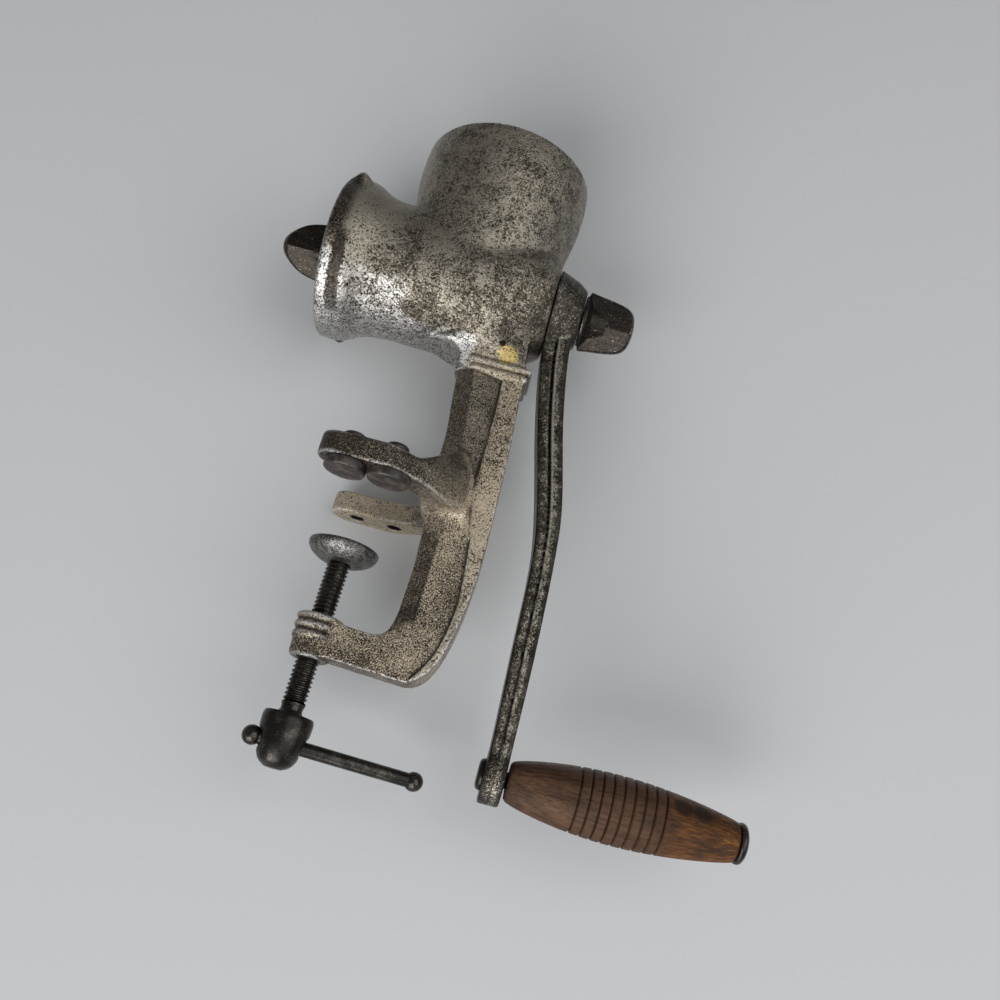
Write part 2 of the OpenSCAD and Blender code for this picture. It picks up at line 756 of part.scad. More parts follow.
// Clamp screw with a rounded head that is cross-drilled for the bar
module clamp_screw() {
    r = screw_diameter / 2;
    h = head_diameter / 2;
    color(steel)
        difference() {
            rotate_extrude()
                polygon(concat(
                    [[0, -head_drop - 21]],
                    smooth([[h * 0.34, -head_drop - 20.8], [h * 0.66, -head_drop - 18.6], [h * 0.86, -head_drop - 14],
                        [h * 0.96, -head_drop - 8], [h, -head_drop - 2.4], [h - 0.5, -head_drop]]),
                    [[r + 0.8, -head_drop], [r - 0.4, -head_drop + 1.6], [r - 0.4, -head_drop + 3.4], [r, -head_drop + 4]],
                    [[r, pad_top - pad_floor - 1.2], [r - 0.9, pad_top - pad_floor - face_gap], [0, pad_top - pad_floor - face_gap]]));
            translate([0, 0, bar_z])
                rotate([0, 0, bar_turn]) {
                    rotate([0, 90, 0])
                        cylinder(h = head_diameter + 4, d = bar_diameter + 2 * play, center = true);
                    for (side = [-1, 1])
                        translate([side * (knob_seat + 4), 0, 0])
                            rotate([0, 90, 0])
                                cylinder(h = 8, r = knob_radius + 0.6, center = true);
                }
        }
}

// Swivel pad: domed cup that the tip of the screw turns in
module swivel_pad() {
    r = pad_diameter / 2;
    tip = screw_diameter / 2 + play;
    dome = smooth([
        [tip + 1.2, pad_top - pad_depth],
        [r * 0.62, pad_top - pad_depth * 0.9],
        [r * 0.84, pad_top - pad_depth * 0.66],
        [r * 0.96, pad_top - pad_depth * 0.4],
        [r, pad_top - pad_depth * 0.18],
        [r - 0.3, pad_top - 0.4],
        [r - 1.2, pad_top]]);
    color(iron)
        rotate_extrude()
            polygon(concat(
                [[tip, pad_top - pad_floor], [tip, pad_top - pad_depth]],
                dome,
                [[0, pad_top], [0, pad_top - pad_floor]]));
}

// Place for what belongs to the sliding bar
module on_bar() {
    translate([0, 0, bar_z])
        rotate([0, 0, bar_turn])
            children();
}

// Sliding bar through the screw head
module tommy_bar() {
    color(steel)
        on_bar()
            translate([-knob_near, 0, 0])
                rotate([0, 90, 0])
                    cylinder(h = knob_near + bar_reach, d = bar_diameter);
}

// Round knob pressed on an end of the bar, whose end stops at the knob's centre
module bar_knob(x, facing) {
    neck = asin(bar_diameter / 2 / knob_radius);
    color(steel)
        on_bar()
            translate([x, 0, 0])
                rotate([0, facing * 90, 0])
                    rotate_extrude()
                        polygon(concat(
                            [[0, 0]],
                            [for (k = [0 : 12]) let (a = k * (180 - neck) / 12) knob_radius * [sin(a), cos(a)]],
                            [[bar_diameter / 2, 0]]));
}

module bar_knob_front() {
    bar_knob(-knob_near, -1);
}

module bar_knob_rear() {
    bar_knob(bar_reach, 1);
}

body_casting();
foot_front();
foot_rear();
feed_screw();
thrust_washer();
cutter_stud();
rotary_cutter();
cutter_nut();
crank_arm();
crank_screw();
handle_spindle();
handle_grip();
handle_cap();
clamp_screw();
swivel_pad();
tommy_bar();
bar_knob_front();
bar_knob_rear();
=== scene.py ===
import json
import math

import bpy
import numpy as np
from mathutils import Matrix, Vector


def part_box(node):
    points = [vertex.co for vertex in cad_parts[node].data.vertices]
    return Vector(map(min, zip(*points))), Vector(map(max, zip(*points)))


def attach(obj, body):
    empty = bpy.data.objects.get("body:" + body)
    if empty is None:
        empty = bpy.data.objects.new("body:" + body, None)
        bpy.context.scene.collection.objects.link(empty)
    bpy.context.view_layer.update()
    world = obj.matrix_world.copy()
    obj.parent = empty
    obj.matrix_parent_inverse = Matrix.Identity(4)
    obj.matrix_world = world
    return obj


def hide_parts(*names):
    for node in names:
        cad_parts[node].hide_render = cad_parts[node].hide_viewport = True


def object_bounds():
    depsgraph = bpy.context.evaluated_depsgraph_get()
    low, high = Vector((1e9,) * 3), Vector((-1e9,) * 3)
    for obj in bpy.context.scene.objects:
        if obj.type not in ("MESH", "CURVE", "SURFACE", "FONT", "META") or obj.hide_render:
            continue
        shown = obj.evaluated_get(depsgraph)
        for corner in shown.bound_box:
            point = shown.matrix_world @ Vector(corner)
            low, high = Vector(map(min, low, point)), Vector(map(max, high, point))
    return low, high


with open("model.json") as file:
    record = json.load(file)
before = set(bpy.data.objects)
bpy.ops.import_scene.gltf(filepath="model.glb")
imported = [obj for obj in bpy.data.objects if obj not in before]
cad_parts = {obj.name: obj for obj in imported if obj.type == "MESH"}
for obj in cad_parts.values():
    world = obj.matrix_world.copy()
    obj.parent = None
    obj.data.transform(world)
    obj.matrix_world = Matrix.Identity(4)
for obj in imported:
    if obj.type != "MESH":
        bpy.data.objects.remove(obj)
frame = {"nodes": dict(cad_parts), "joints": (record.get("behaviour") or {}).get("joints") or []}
nodes = frame["nodes"]
cadLow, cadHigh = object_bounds()
print("frame loaded with", len(nodes), "CAD nodes")


def middle(node):
    low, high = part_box(node)
    return (low + high) / 2


# places that the pieces share, read from the frame
axisZ = middle("rotary_cutter").z
handleZ = middle("handle_grip").z
barZ = middle("tommy_bar").z
barWay = Vector(next(j["axis"] for j in frame["joints"] if j["name"] == "bar_slide")).normalized()
# each foot's x and its distance from y = 0, where the other prong has an empty hole
footHoles = [(middle(node).x, -middle(node).y) for node in ("foot_front", "foot_rear")]


# shader maths
class Wire:
    def __init__(self, paint, socket):
        self.paint = paint
        self.socket = socket

    def calc(self, operation, first, second):
        return self.paint.node("ShaderNodeMath", {"operation": operation}, {0: first, 1: second})

    def __add__(self, other):
        return self.calc("ADD", self, other)

    def __radd__(self, other):
        return self.calc("ADD", other, self)

    def __sub__(self, other):
        return self.calc("SUBTRACT", self, other)

    def __rsub__(self, other):
        return self.calc("SUBTRACT", other, self)

    def __mul__(self, other):
        return self.calc("MULTIPLY", self, other)

    def __rmul__(self, other):
        return self.calc("MULTIPLY", other, self)


class Paint:
    def __init__(self, name):
        self.material = bpy.data.materials.new(name)
        self.material.use_nodes = True
        self.tree = self.material.node_tree
        self.tree.nodes.clear()

    # any node: its type, its settings, then the values or wires of its sockets
    def node(self, kind, settings=None, sockets=None, output=0):
        made = self.tree.nodes.new(kind)
        for key, value in (settings or {}).items():
            setattr(made, key, value)
        for key, value in (sockets or {}).items():
            if isinstance(value, Wire):
                self.tree.links.new(value.socket, made.inputs[key])
            elif made.inputs[key].type == "RGBA":
                made.inputs[key].default_value = (*value, 1)
            else:
                made.inputs[key].default_value = value
        return Wire(self, made.outputs[output]) if made.outputs else None

    def place(self):
        return self.node("ShaderNodeTexCoord", output="Object")

    def axes(self):
        owner = self.node("ShaderNodeSeparateXYZ", None, {0: self.place()}).socket.node
        return [Wire(self, output) for output in owner.outputs]

    # what wearMap or acrossMap left on the points
    def measured(self, name):
        return self.node("ShaderNodeAttribute", {"attribute_name": name}, output="Fac")

    def awayFrom(self, point):
        return self.node("ShaderNodeVectorMath", {"operation": "DISTANCE"},
                         {0: self.place(), 1: point}, "Value")

    def stretch(self, scale):
        return self.node("ShaderNodeMapping", None, {"Vector": self.place(), "Scale": scale})

    def noise(self, scale, detail=3.0, rough=0.55, where=None, bend=0.0):
        return self.node("ShaderNodeTexNoise", None,
                         {"Vector": where or self.place(), "Scale": scale, "Detail": detail,
                          "Roughness": rough, "Distortion": bend})

    # 0 at the first limit, 1 at the second, whichever of them is larger
    def ramp(self, value, first, second):
        return self.node("ShaderNodeMapRange", {"interpolation_type": "SMOOTHSTEP"},
                         {"Value": value, "From Min": first, "From Max": second})

    # a mask that is 1 where every measure has passed its second limit
    def zone(self, measures, limits):
        mask = 1
        for name, first, second in limits:
            mask = mask * self.ramp(measures[name], first, second)
        return mask

    def weighed(self, zones, shares):
        total = 0
        for name, share in shares.items():
            total = total + zones[name] * share
        return total

    def mix(self, share, first, second):
        return self.node("ShaderNodeMix", {"data_type": "RGBA"}, {0: share, 6: first, 7: second}, 2)

    def bump(self, height, strength, depth):
        return self.node("ShaderNodeBump", None, {"Height": height, "Strength": strength, "Distance": depth})

    def finish(self, **sockets):
        shader = self.node("ShaderNodeBsdfPrincipled", None,
                           {key.replace("_", " "): value for key, value in sockets.items()})
        self.node("ShaderNodeOutputMaterial", None, {"Surface": shader})
        return self.material


# tinned cast iron: grey-brown tin with fine dark pits all over, tan and drier on the clamp
tinnedIron = {
    "bareTinAndHighlight": (0.56, 0.555, 0.54),
    "tin": (0.335, 0.303, 0.245),
    "dull": (0.072, 0.062, 0.047),
    "tan": (0.49, 0.418, 0.308),
    "brown": (0.052, 0.043, 0.033),
    "sootAndShade": (0.034, 0.028, 0.022),
    "pit": (0.012, 0.009, 0.007),
    "brass": (0.50, 0.385, 0.14),
    "brassAt": (0.0439, -0.0121, 0.0797),
    "brassEdge": (0.0048, 0.0036),
    "pitAt": (0.0404, -0.0142, 0.0836),
    "pitEdge": (0.0018, 0.0011),
    "holeEdge": (0.0000130, 0.0000105),  # squares of radii
    "ridgeSlope": 0.105,
    "barrelSpecks": 1250,
    "legSpecks": 1750,
    # each zone: a measure, and where along it the zone begins and is full
    # h is the height from the barrel's axis, off the distance from y = 0
    "zones": {
        "leg": (("h", -0.028, -0.038),),
        "rib": (("off", 0.0080, 0.0092), ("off", 0.0125, 0.0105)),
        # upper and lower: the bevels of the clamp frame, darkened with painted shade
        "upper": (("ridge", 0.0391, 0.0380), ("z", 0.010, 0.020)),
        "lower": (("x", 0.0375, 0.0365), ("z", -0.002, -0.010), ("z", -0.051, -0.040)),
        "prong": (("y", -0.0105, -0.0200),),
        "far": (("y", 0.018, 0.026),),
        "near": (("x", 0.032, 0.022),),
        "prongTip": (("x", 0.030, 0.018),),
        "upright": (("z", 0.000, 0.012), ("y", 0.018, 0.012)),
        "sootAndShade": (("x", -0.033, -0.041), ("ragged", -0.017, -0.007)),
        # hollow: the groove behind the bell's lip, darkened with painted shade
        "hollow": (("drift", -0.0322, -0.0358), ("drift", -0.0407, -0.0388),
                   ("h", -0.038, -0.029), ("h", -0.004, -0.016)),
        # low, lip and saddle: where a painted highlight goes, on the barrel's underside, the bell's lip and
        # the saddle
        "low": (("h", -0.012, -0.021), ("h", -0.038, -0.029), ("x", 0.006, -0.014)),
        "lip": (("x", -0.0388, -0.0408), ("h", -0.014, -0.020)),
        "saddle": (("h", -0.026, -0.032), ("h", -0.046, -0.040), ("x", 0.034, 0.024)),
        "boss": (("x", 0.007, 0.002), ("z", -0.046, -0.050)),
        # under: the clamp's underside, darkened with painted shade
        "under": (("z", -0.0640, -0.0690),),
        "front": (("h", 0.012, -0.010), ("x", -0.030, -0.020)),
        # neck: painted paler, partly for its tan and partly as painted light where the lamps reach it weakly
        "neck": (("x", -0.010, -0.020), ("x", -0.040, -0.035), ("h", -0.014, -0.004)),
    },
    # how much paler or darker the tin is in each zone; the shares of upper, lower and under are painted shade
    "paler": {"upper": -0.03, "lower": -0.05, "near": -0.07, "boss": -0.05, "under": -0.04,
              "front": -0.05, "neck": 0.12, "rib": 0.05, "leg": -0.02, "far": 0.10},
    # painted highlight: how strongly the bare tin colour is laid on each of these zones
    "wearAndHighlight": {"low": 0.62, "lip": 1.0, "saddle": 1.0},
    # painted shade under the clamp, in the bell's groove and on the bevels, and darker tin on the bell top,
    # the boss and the prong tips
    "sootAndShadeShares": {"sootAndShade": 1.0, "hollow": 1.3, "upper": 0.14, "lower": 0.50, "boss": 0.22,
              "under": 0.30, "prongTip": 0.60},
}


def tinnedIronPaint(s):
    p = Paint("tinnedIron")
    x, y, z = p.axes()
    h = z - axisZ
    off = p.node("ShaderNodeMath", {"operation": "ABSOLUTE"}, {0: y})
    broad = p.noise(30, 3, 0.5)
    clump = p.noise(120, 4, 0.62)
    patch = p.noise(400, 4, 0.62, bend=0.5)
    grain = p.noise(2300, 2, 0.6, bend=0.4)
    measures = {
        "x": x, "y": y, "z": z, "h": h, "off": off,
        "ridge": x + s["ridgeSlope"] * z,
        "ragged": h + (clump - 0.5) * 0.02,
        "drift": x + (patch - 0.5) * 0.0040 + (clump - 0.5) * 0.0040,
    }
    zones = {name: p.zone(measures, limits) for name, limits in s["zones"].items()}
    leg = zones["leg"]
    for name in ("rib", "upper", "prong", "far"):
        zones[name] = zones[name] * leg
    for name in ("near", "prongTip"):
        zones[name] = zones[name] * zones["prong"]
    zones["front"] = zones["front"] * (1 - leg)
    fine = p.noise(s["barrelSpecks"], 3, 0.62, bend=0.6) * (1 - leg)
    fine = fine + p.noise(s["legSpecks"], 3, 0.64, bend=0.6) * leg
    # the mottled tin, with the clamp's tan dust over it
    tide = (broad - 0.5) * 0.20 + (clump - 0.5) * (0.32 - 0.20 * leg)
    grit = fine * (0.72 + 0.14 * leg) + patch * (0.28 - 0.14 * leg)
    share = p.ramp(grit + tide + p.weighed(zones, s["paler"]) + (grain - 0.5) * 0.16, 0.40, 0.585)
    dusty = leg * (1 - 0.65 * zones["upright"] * (1 - zones["rib"]))
    colour = p.mix(share, p.mix(dusty, s["dull"], s["brown"]), p.mix(dusty, s["tin"], s["tan"]))
    # painted highlight on the barrel's underside, the bell's lip and the saddle, then painted shade under the
    # clamp, in the bell's groove and on the bevels, with darker tin on the bell top, boss and prong tips
    mottle = (clump - 0.5) * 0.9 + (patch - 0.5) * 0.9
    bright = p.ramp(p.weighed(zones, s["wearAndHighlight"]) + mottle, 0.28, 0.95)
    colour = p.mix(bright * p.ramp(grit, 0.435, 0.545), colour, s["bareTinAndHighlight"])
    black = p.ramp(p.weighed(zones, s["sootAndShadeShares"]) + tide, 0.10, 1.0)
    spared = p.ramp(fine, 0.50, 0.64) * (1 - zones["hollow"])
    colour = p.mix(black * (0.95 - 0.50 * spared), colour, s["sootAndShade"])
    # pits, the brass spot with the pit beside it, and painted shade in the empty holes
    dark = p.ramp(fine * 0.85 + patch * 0.15 + tide * 0.4 - leg * 0.034, 0.432, 0.385)
    colour = p.mix(dark * (0.95 - 0.20 * bright), colour, s["pit"])
    spot = p.ramp(p.awayFrom(s["brassAt"]) + (patch - 0.5) * 0.008, *s["brassEdge"])
    colour = p.mix(spot * p.ramp(fine, 0.42, 0.50), colour, s["brass"])
    colour = p.mix(p.ramp(p.awayFrom(s["pitAt"]), *s["pitEdge"]), colour, s["pit"])
    for across, out in footHoles:
        away = (x - across) * (x - across) + (off - out) * (off - out)
        colour = p.mix(leg * p.ramp(away, *s["holeEdge"]), colour, s["pit"])
    # edges are painted bright, as wear and as a painted highlight; concave corners are painted darker
    edge = p.measured("wear")
    colour = p.mix(p.ramp(edge, 0.08, 0.32) * p.ramp(fine, 0.38, 0.50) * 0.75, colour, s["bareTinAndHighlight"])
    colour = p.mix(p.ramp(edge, -0.04, -0.26) * 0.80, colour, s["sootAndShade"])
    dry = dusty * share
    height = 0.6 * fine + 0.5 * patch + 0.3 * clump - 0.3 * dark
    return p.finish(Base_Color=colour, Metallic=0.95 - 0.30 * dry - 0.3 * dark * (1 - dry),
                    Roughness=0.35 - 0.06 * bright + 0.11 * dry + 0.12 * dark,
                    Normal=p.bump(height, 0.65, 0.0009))


# the pad is bare grey iron, rubbed bright
padIron = {"bright": (0.22, 0.215, 0.205), "dull": (0.050, 0.048, 0.044), "pit": (0.012, 0.010, 0.008)}


def padIronPaint(s):
    p = Paint("padIron")
    mottle = p.noise(320, 6, 0.7)
    speck = p.noise(1700, 2, 0.6)
    colour = p.mix(p.ramp(mottle * 0.5 + speck * 0.5, 0.43, 0.60), s["dull"], s["bright"])
    dark = p.ramp(speck * 0.7 + mottle * 0.3, 0.43, 0.36)
    colour = p.mix(dark * 0.7, colour, s["pit"])
    return p.finish(Base_Color=colour, Metallic=0.9 - 0.4 * dark, Roughness=0.34 + 0.2 * dark,
                    Normal=p.bump(speck * 0.5 + mottle * 0.5, 0.6, 0.0009))


# dark cast iron of the crank arm, worn bright in fine specks along its rib
darkIron = {
    "low": (0.016, 0.0135, 0.0105),
    "mid": (0.058, 0.050, 0.040),
    "high": (0.46, 0.43, 0.36),
    "fade": (-0.150, -0.010),  # heights from the barrel's axis
    "stem": (-0.008, -0.020),
}


def darkIronPaint(s):
    p = Paint("darkIron")
    h = p.axes()[2] - axisZ
    across = p.measured("across")
    edge = p.measured("wear")
    broad = p.noise(40, 4, 0.55)
    middling = p.noise(190, 4, 0.6)
    speck = p.noise(1300, 3, 0.62, bend=1.4)
    mottle = speck * 0.6 + middling * 0.4 + (broad - 0.5) * 0.3
    colour = p.mix(p.ramp(mottle + p.ramp(h, *s["fade"]) * 0.03, 0.42, 0.58), s["low"], s["mid"])
    # two worn bands run down the stem, between its dark flanks
    stem = p.ramp(h, *s["stem"])
    left = stem * p.ramp(across, 0.14, 0.22) * p.ramp(across, 0.44, 0.36)
    right = stem * p.ramp(across, 0.50, 0.54) * p.ramp(across, 0.84, 0.72)
    flank = p.ramp(across, 0.12, 0.03) + p.ramp(across, 0.86, 0.96)
    wearAndHighlight = (1 - stem) * 0.03 + left * 0.05 + right * 0.08
    worn = p.ramp(speck * 0.75 + middling * 0.25 + wearAndHighlight, 0.58, 0.66)
    colour = p.mix(flank * 0.6, colour, s["low"])
    colour = p.mix(worn * (0.85 - 0.25 * flank), colour, s["high"])
    colour = p.mix(p.ramp(edge, -0.05, -0.30) * 0.9, colour, s["low"])
    glint = p.ramp(edge, 0.06, 0.22) * (0.25 * left + right) * p.ramp(speck, 0.36, 0.48)
    colour = p.mix(glint * 0.9, colour, s["high"])
    return p.finish(Base_Color=colour, Metallic=0.88, Roughness=0.36 - 0.08 * worn,
                    Normal=p.bump(speck * 0.6 + middling * 0.5, 0.6, 0.0007))


# the two thumb pieces: brown-black, with painted glints in streaks along their wings and on their edges
thumbIron = {"low": (0.011, 0.009, 0.007), "high": (0.030, 0.024, 0.019), "glint": (0.42, 0.40, 0.37)}


def thumbIronPaint(s):
    p = Paint("thumbIron")
    edge = p.measured("wear")
    streak = p.noise(1, 3, 0.6, p.stretch((90, 620, 620)))
    speck = p.noise(1500, 2, 0.6)
    colour = p.mix(p.ramp(streak * 0.3 + speck * 0.7, 0.40, 0.62), s["low"], s["high"])
    glint = p.ramp(speck * 0.6 + streak * 0.4, 0.61, 0.69)
    colour = p.mix(glint * 0.7, colour, s["glint"])
    colour = p.mix(p.ramp(edge, 0.24, 0.55) * p.ramp(speck, 0.38, 0.52) * 0.5, colour, s["glint"])
    return p.finish(Base_Color=colour, Metallic=0.85, Roughness=0.36 - 0.05 * glint,
                    Normal=p.bump(speck * 0.8 + streak * 0.2, 0.3, 0.0004))


blackSteel = {"low": (0.014, 0.0125, 0.011), "high": (0.060, 0.054, 0.047)}


def blackSteelPaint(s):
    p = Paint("blackSteel")
    speck = p.noise(1500, 2, 0.6)
    middling = p.noise(180, 4, 0.6)
    worn = p.ramp(speck * 0.4 + middling * 0.6, 0.46, 0.64)
    colour = p.mix(worn, s["low"], s["high"])
    return p.finish(Base_Color=colour, Metallic=0.75, Roughness=0.32 - 0.06 * worn,
                    Normal=p.bump(speck + middling, 0.25, 0.0003))


agedRubber = {"dark": (0.013, 0.010, 0.008), "pale": (0.060, 0.046, 0.037)}


def agedRubberPaint(s):
    p = Paint("agedRubber")
    bloom = p.noise(240, 4, 0.6)
    grain = p.noise(1300, 2, 0.5)
    colour = p.mix(p.ramp(bloom, 0.42, 0.66), s["dark"], s["pale"])
    return p.finish(Base_Color=colour, Roughness=0.34 + 0.2 * bloom,
                    Normal=p.bump(grain + bloom, 0.3, 0.0004))


# turned hardwood, oiled and stained, dirtier toward the crank end and in the grooves
stainedWood = {
    "amber": (0.088, 0.034, 0.0095),
    "gold": (0.150, 0.066, 0.020),
    "taupe": (0.098, 0.053, 0.031),
    "brown": (0.040, 0.020, 0.011),
    "dark": (0.014, 0.009, 0.007),
    "stains": ((0.1550, -0.0097, -0.0868), (0.1628, -0.0088, -0.0873)),
    "stainEdge": (0.0052, 0.0030),
    "bandEdge": 0.004,
}


def stainedWoodPaint(s, band):
    p = Paint("stainedWood")
    x = p.axes()[0]
    edge = p.measured("wear")
    soft = s["bandEdge"]
    fibre = p.noise(1, 4, 0.62, p.stretch((60, 1100, 1100)))
    ring = p.noise(1, 3, 0.55, p.stretch((14, 130, 130)), bend=0.6)
    pore = p.ramp(p.noise(1, 2, 0.5, p.stretch((240, 2200, 2200))), 0.60, 0.68)
    broad = p.noise(45, 4, 0.55)
    along = p.ramp(x, band[1] - 2 * soft, band[1] + soft)
    grooves = p.ramp(x, band[0] - soft, band[0] + soft) * p.ramp(x, band[1] + soft, band[1] - soft)
    warm = p.mix(p.ramp(fibre, 0.50, 0.66), s["amber"], s["gold"])
    warm = p.mix(p.ramp(ring * 0.5 + fibre * 0.5, 0.36, 0.56), s["brown"], warm)
    pale = p.mix(p.ramp(ring * 0.4 + fibre * 0.6, 0.36, 0.62), s["brown"], s["taupe"])
    colour = p.mix(along, pale, warm)
    colour = p.mix(grooves * 0.30, colour, s["brown"])
    colour = p.mix(p.ramp(broad, 0.50, 0.70) * 0.55, colour, s["dark"])
    colour = p.mix(pore * 0.6, colour, s["dark"])
    colour = p.mix(p.ramp(edge, -0.05, -0.30) * 0.9, colour, s["dark"])
    for at in s["stains"]:
        gone = p.awayFrom(at) + (broad - 0.5) * 0.006
        colour = p.mix(p.ramp(gone, *s["stainEdge"]) * 0.85, colour, s["dark"])
    return p.finish(Base_Color=colour, Roughness=0.50 + 0.16 * fibre, Specular_IOR_Level=0.12,
                    Normal=p.bump(fibre * 0.6 - pore * 0.4, 0.5, 0.0005))


cutterSteel = {"low": (0.25, 0.24, 0.22), "high": (0.46, 0.45, 0.43)}


def cutterSteelPaint(s):
    p = Paint("cutterSteel")
    grain = p.noise(420, 4, 0.6)
    colour = p.mix(p.ramp(grain, 0.40, 0.62), s["low"], s["high"])
    return p.finish(Base_Color=colour, Metallic=0.9, Roughness=0.34 + 0.2 * grain,
                    Normal=p.bump(grain, 0.25, 0.0003))


dullBronze = {"low": (0.16, 0.10, 0.05), "high": (0.33, 0.23, 0.11)}


def dullBronzePaint(s):
    p = Paint("dullBronze")
    grain = p.noise(380, 4, 0.6)
    colour = p.mix(p.ramp(grain, 0.38, 0.62), s["low"], s["high"])
    return p.finish(Base_Color=colour, Metallic=0.85, Roughness=0.40 + 0.2 * grain,
                    Normal=p.bump(grain, 0.25, 0.0003))


# modelling helpers
merge = {"cast": 0.00001, "turned": 0.000004}


def only(obj):
    bpy.ops.object.select_all(action="DESELECT")
    obj.select_set(True)
    bpy.context.view_layer.objects.active = obj


def editAll():
    bpy.ops.object.mode_set(mode="EDIT")
    bpy.ops.mesh.select_all(action="SELECT")


def editDone():
    bpy.ops.object.mode_set(mode="OBJECT")


def triangles(obj):
    return sum(len(f.vertices) - 2 for f in obj.data.polygons)


def applied(obj, kind, **settings):
    only(obj)
    made = obj.modifiers.new(kind.lower(), kind)
    for key, value in settings.items():
        setattr(made, key, value)
    bpy.ops.object.modifier_apply(modifier=made.name)


# the CAD solid again, with the rounded edges and filled corners of a casting
def castCopy(node, name, cell, rounds):
    obj = bpy.data.objects.new(name, nodes[node].data.copy())
    bpy.context.scene.collection.objects.link(obj)
    only(obj)
    editAll()
    bpy.ops.mesh.remove_doubles(threshold=merge["cast"])
    editDone()
    applied(obj, "REMESH", mode="VOXEL", voxel_size=cell)
    applied(obj, "SMOOTH", factor=0.5, iterations=rounds)
    return obj


def readPoints(mesh, kind):
    values = np.empty(len(mesh.vertices) * 3)
    mesh.vertices.foreach_get(kind, values)
    return values.reshape(-1, 3)


def keepOnPoints(mesh, name, values):
    mesh.attributes.new(name, "FLOAT", "POINT").data.foreach_set("value", values.astype(np.float32))


# how sharply the surface turns, kept on its points: edges above zero, corners below
def wearMap(obj, sharp=1500.0, rounds=2):
    mesh = obj.data
    count = len(mesh.vertices)
    place, normal = readPoints(mesh, "co"), readPoints(mesh, "normal")
    ends = np.empty(len(mesh.edges) * 2, dtype=int)
    mesh.edges.foreach_get("vertices", ends)
    one, two = ends[0::2], ends[1::2]
    step = place[one] - place[two]
    turn = ((normal[one] - normal[two]) * step).sum(1) / np.maximum((step * step).sum(1), 1e-12)
    near = np.maximum(np.bincount(one, minlength=count) + np.bincount(two, minlength=count), 1)
    wear = (np.bincount(one, turn, count) + np.bincount(two, turn, count)) / near / sharp
    for _ in range(rounds):
        around = (np.bincount(one, wear[two], count) + np.bincount(two, wear[one], count)) / near
        wear = (wear + around) / 2
    keepOnPoints(mesh, "wear", np.clip(wear, -1, 1))


# how far across the piece a point lies at its own height, 0 on the low x side and 1 on the other
def acrossMap(obj, step=0.002):
    place = readPoints(obj.data, "co")
    x, z = place[:, 0], place[:, 2]
    row = ((z - z.min()) / step).astype(int)
    first, last = np.full(row.max() + 1, np.inf), np.full(row.max() + 1, -np.inf)
    np.minimum.at(first, row, x)
    np.maximum.at(last, row, x)
    rowZ = z.min() + (np.arange(row.max() + 1) + 0.5) * step
    first, last = np.interp(z, rowZ, first), np.interp(z, rowZ, last)
    keepOnPoints(obj.data, "across", np.clip((x - first) / np.maximum(last - first, 1e-6), 0, 1))


def thinned(obj, most):
    count = triangles(obj)
    if count > most:
        applied(obj, "DECIMATE", ratio=most / count)


def smoothWhere(obj, weight, rounds):
    group = obj.vertex_groups.new(name="blend")
    for v in obj.data.vertices:
        w = weight(v.co)
        if w > 0.01:
            group.add([v.index], min(w, 1.0), "REPLACE")
    applied(obj, "SMOOTH", factor=0.5, iterations=rounds, vertex_group="blend")
    obj.vertex_groups.clear()


# a line drawn point by point: a small plane merged to one point, then extruded step by step
def drawn(start, steps):
    bpy.ops.object.select_all(action="DESELECT")
    bpy.ops.mesh.primitive_plane_add(size=0.001, location=start)
    bpy.ops.object.transform_apply()
    editAll()
    bpy.ops.mesh.merge(type="CENTER")
    for step in steps:
        bpy.ops.mesh.extrude_region_move(TRANSFORM_OT_translate={"value": step})
    editDone()
    return bpy.context.object


# a profile line spun about an axis
def turned(name, line, centre, way, steps=72):
    way = Vector(way).normalized()
    side = way.orthogonal().normalized()
    centre = Vector(centre)
    points = [centre + way * along + side * radius for radius, along in line]
    obj = drawn(points[0], [b - a for a, b in zip(points, points[1:])])
    obj.name = name
    editAll()
    bpy.ops.mesh.spin(steps=steps, angle=2 * math.pi, center=centre, axis=way)
    bpy.ops.mesh.select_all(action="SELECT")
    bpy.ops.mesh.remove_doubles(threshold=merge["turned"])
    bpy.ops.mesh.normals_make_consistent(inside=False)
    editDone()
    return obj


def arc(radius, along, size, start, end, steps=6):
    turn = [math.radians(start + (end - start) * k / steps) for k in range(steps + 1)]
    return [(radius + size * math.cos(a), along + size * math.sin(a)) for a in turn]


# a smooth line through a few knots
def throughPoints(knots, steps):
    line = []
    for k in range(len(knots) - 1):
        a, b, c, d = (Vector(knots[max(0, min(len(knots) - 1, k + j))]) for j in (-1, 0, 1, 2))
        for j in range(steps):
            t = j / steps
            bend = (2 * a - 5 * b + 4 * c - d) * t * t + (3 * b - a - 3 * c + d) * t ** 3
            line.append(tuple(0.5 * (2 * b + (c - a) * t + bend)))
    return line + [tuple(knots[-1])]


def within(value, limits):
    return limits[0] < value < limits[1]


def seated(obj, body, material, slot, *stands, angle=None):
    only(obj)
    if angle:
        bpy.ops.object.shade_smooth_by_angle(angle=math.radians(angle))
    else:
        bpy.ops.object.shade_smooth()
    obj.data.materials.clear()
    obj.data.materials.append(material)
    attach(obj, body)
    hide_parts(*stands)
    print(obj.name, "has", triangles(obj), "triangles")
    return obj


ironPaint = tinnedIronPaint(tinnedIron)
padPaint = padIronPaint(padIron)
armPaint = darkIronPaint(darkIron)
thumbPaint = thumbIronPaint(thumbIron)
steelPaint = blackSteelPaint(blackSteel)
rubberPaint = agedRubberPaint(agedRubber)
cutterPaint = cutterSteelPaint(cutterSteel)
bronzePaint = dullBronzePaint(dullBronze)
print("finishes ready")

# body casting, then the places on it that are blended one by one
body = {"cell": 0.00062, "rounds": 3, "barrelRadius": 0.031, "most": 190000}

